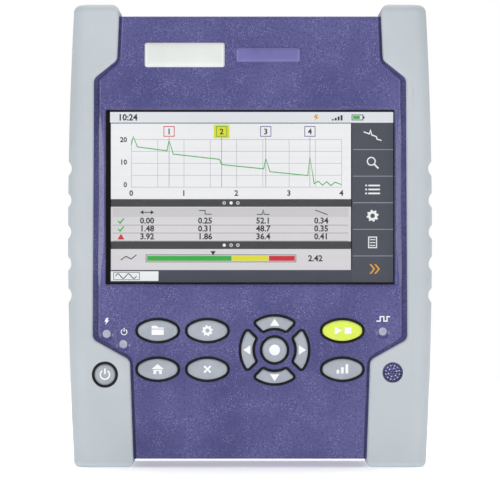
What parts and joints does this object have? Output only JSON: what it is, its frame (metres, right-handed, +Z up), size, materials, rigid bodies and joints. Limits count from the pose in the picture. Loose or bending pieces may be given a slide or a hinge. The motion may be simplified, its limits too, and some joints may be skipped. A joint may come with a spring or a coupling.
{
  "type": "optical time domain reflectometer",
  "caption": "Handheld optical fibre tester: moulded housing between soft bumpers, landscape screen, oval keys, round direction pad, optical port under a flap and a tilt stand.",
  "frame": {"origin": "centre of the standing footprint, on the surface that the bumpers' feet stand on", "axes": "+X to the right seen from the front, +Y from the screen to the back, +Z up"},
  "size_m": [0.138, 0.057, 0.175],
  "materials": {
    "purple_shell": "fine satin grain with pearly specks",
    "grey_rubber": "matt soft-touch moulding",
    "black_rubber": "matt",
    "pearl_plate": "pearly satin",
    "violet_plate": "satin",
    "screen_glass": "clear anti-reflection glass",
    "display_panel": "dark panel",
    "steel_sheet": "rolled sheet",
    "brass_spacer": "turned",
    "circuit_board": "solder mask",
    "switch_steel": "stamped",
    "lamp_chip": "small moulded chip",
    "lamp_lens": "milky light pipe",
    "black_plastic": "moulded",
    "screw_steel": "zinc plated",
    "socket_steel": "stamped shell",
    "socket_plastic": "moulded",
    "adapter_plastic": "moulded",
    "sleeve_ceramic": "ground ceramic",
    "pigtail_plastic": "moulded boot",
    "module_metal": "machined case",
    "grey_key": "satin moulded cap",
    "green_key": "satin moulded cap"
  },
  "bodies": {
    "housing": {"front_cover": "purple_shell", "rear_cover": "purple_shell", "battery_door": "purple_shell", "port_frame": "purple_shell", "left_bumper": "grey_rubber", "right_bumper": "grey_rubber", "housing_seal": "black_rubber", "screen_gasket": "black_rubber", "keypad_mat": "black_rubber", "name_plate": "pearl_plate", "model_plate": "violet_plate", "touch_glass": "screen_glass", "lcd_panel": "display_panel", "display_bracket": "steel_sheet", "board_standoffs": "brass_spacer", "keypad_board": "circuit_board", "main_board": "circuit_board", "key_switches": "switch_steel", "led_chips": "lamp_chip", "led_light_pipes": "lamp_lens", "speaker": "black_plastic", "keypad_screws": "screw_steel", "board_screws": "screw_steel", "case_screws": "screw_steel", "door_screws": "screw_steel", "stand_pins": "screw_steel", "port_cover_pin": "screw_steel", "usb_socket": "socket_steel", "lan_socket": "socket_plastic", "dc_jack": "socket_plastic", "sc_adapter": "adapter_plastic", "ferrule_sleeve": "sleeve_ceramic", "fibre_pigtail": "pigtail_plastic", "optical_module": "module_metal", "battery_contacts": "black_plastic", "battery_pack": "black_plastic"},
    "file_key": {"file_key": "grey_key"},
    "setup_key": {"setup_key": "grey_key"},
    "home_key": {"home_key": "grey_key"},
    "cancel_key": {"cancel_key": "grey_key"},
    "start_stop_key": {"start_stop_key": "green_key"},
    "results_key": {"results_key": "grey_key"},
    "up_key": {"up_key": "grey_key"},
    "left_key": {"left_key": "grey_key"},
    "down_key": {"down_key": "grey_key"},
    "right_key": {"right_key": "grey_key"},
    "enter_key": {"enter_key": "grey_key"},
    "power_key": {"power_key": "grey_key"},
    "stand": {"stand": "purple_shell"},
    "port_cover": {"port_cover": "purple_shell"}
  },
  "joints": [
    {"name": "file_key_press", "type": "slide", "parent": "housing", "child": "file_key", "axis": [0, 1, 0], "range_m": [0, 0.0008], "stiffness_N_per_m": 1500},
    {"name": "setup_key_press", "type": "slide", "parent": "housing", "child": "setup_key", "axis": [0, 1, 0], "range_m": [0, 0.0008], "stiffness_N_per_m": 1500},
    {"name": "home_key_press", "type": "slide", "parent": "housing", "child": "home_key", "axis": [0, 1, 0], "range_m": [0, 0.0008], "stiffness_N_per_m": 1500},
    {"name": "cancel_key_press", "type": "slide", "parent": "housing", "child": "cancel_key", "axis": [0, 1, 0], "range_m": [0, 0.0008], "stiffness_N_per_m": 1500},
    {"name": "start_stop_key_press", "type": "slide", "parent": "housing", "child": "start_stop_key", "axis": [0, 1, 0], "range_m": [0, 0.0008], "stiffness_N_per_m": 1500},
    {"name": "results_key_press", "type": "slide", "parent": "housing", "child": "results_key", "axis": [0, 1, 0], "range_m": [0, 0.0008], "stiffness_N_per_m": 1500},
    {"name": "up_key_press", "type": "slide", "parent": "housing", "child": "up_key", "axis": [0, 1, 0], "range_m": [0, 0.0008], "stiffness_N_per_m": 1500},
    {"name": "left_key_press", "type": "slide", "parent": "housing", "child": "left_key", "axis": [0, 1, 0], "range_m": [0, 0.0008], "stiffness_N_per_m": 1500},
    {"name": "down_key_press", "type": "slide", "parent": "housing", "child": "down_key", "axis": [0, 1, 0], "range_m": [0, 0.0008], "stiffness_N_per_m": 1500},
    {"name": "right_key_press", "type": "slide", "parent": "housing", "child": "right_key", "axis": [0, 1, 0], "range_m": [0, 0.0008], "stiffness_N_per_m": 1500},
    {"name": "enter_key_press", "type": "slide", "parent": "housing", "child": "enter_key", "axis": [0, 1, 0], "range_m": [0, 0.0008], "stiffness_N_per_m": 1500},
    {"name": "power_key_press", "type": "slide", "parent": "housing", "child": "power_key", "axis": [0, 1, 0], "range_m": [0, 0.0008], "stiffness_N_per_m": 1500},
    {"name": "stand_hinge", "type": "hinge", "parent": "housing", "child": "stand", "pos_m": [0, 0.0247, 0.1505], "axis": [1, 0, 0], "range_deg": [0, 60]},
    {"name": "port_cover_hinge", "type": "hinge", "parent": "housing", "child": "port_cover", "pos_m": [0.0235, 0.00245, 0.169], "axis": [-1, 0, 0], "range_deg": [0, 95]}
  ]
}
